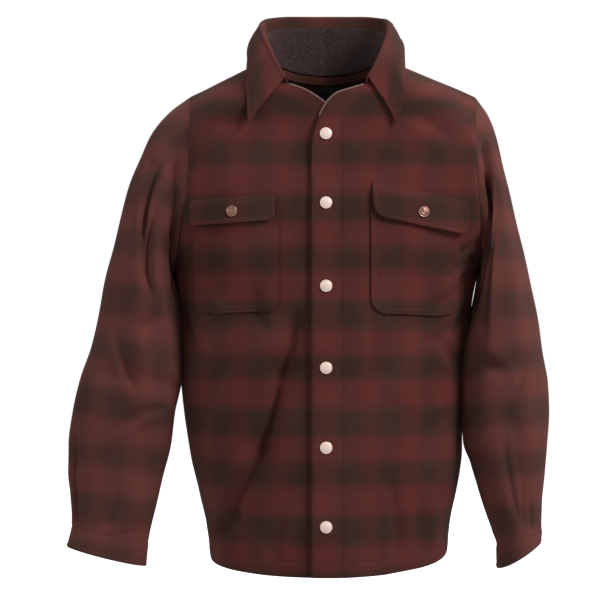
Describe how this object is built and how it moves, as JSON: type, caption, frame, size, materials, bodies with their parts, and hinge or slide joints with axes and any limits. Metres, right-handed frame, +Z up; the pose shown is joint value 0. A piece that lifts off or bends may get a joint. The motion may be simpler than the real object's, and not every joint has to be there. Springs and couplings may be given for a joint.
{
  "type": "jacket",
  "caption": "Plaid wool shirt jacket with a fold-over collar, snap placket, flapped chest pockets and cuffed sleeves, filled out as worn.",
  "frame": {"origin": "middle of the neck opening, level with the shoulders that hold the jacket up", "axes": "+Z up, -Y the jacket's front, +X the viewer's right (the wearer's left)"},
  "size_m": [0.6662, 0.3014, 0.7789],
  "materials": {
    "plaid_wool": "brushed wool twill in a soft red and dark olive-brown plaid",
    "dark_pile": "short dark napped pile",
    "pale_snap": "glossy pale rose enamel",
    "copper_snap": "worn dull copper",
    "label_cloth": "plain black woven tape"
  },
  "bodies": {
    "root": {"front_left": "plaid_wool", "front_right": "plaid_wool", "back": "plaid_wool", "sleeve_left": "plaid_wool", "cuff_left": "plaid_wool", "sleeve_right": "plaid_wool", "cuff_right": "plaid_wool", "collar": "plaid_wool", "collar_lining": "dark_pile", "placket": "plaid_wool", "pocket_left": "plaid_wool", "flap_left": "plaid_wool", "pocket_right": "plaid_wool", "flap_right": "plaid_wool", "snap_front_1": "pale_snap", "snap_front_2": "pale_snap", "snap_front_3": "pale_snap", "snap_front_4": "pale_snap", "snap_front_5": "pale_snap", "snap_front_6": "pale_snap", "snap_pocket_left": "copper_snap", "snap_pocket_right": "copper_snap", "snap_cuff_left": "copper_snap", "snap_cuff_right": "copper_snap", "neck_label": "label_cloth"}
  },
  "joints": []
}
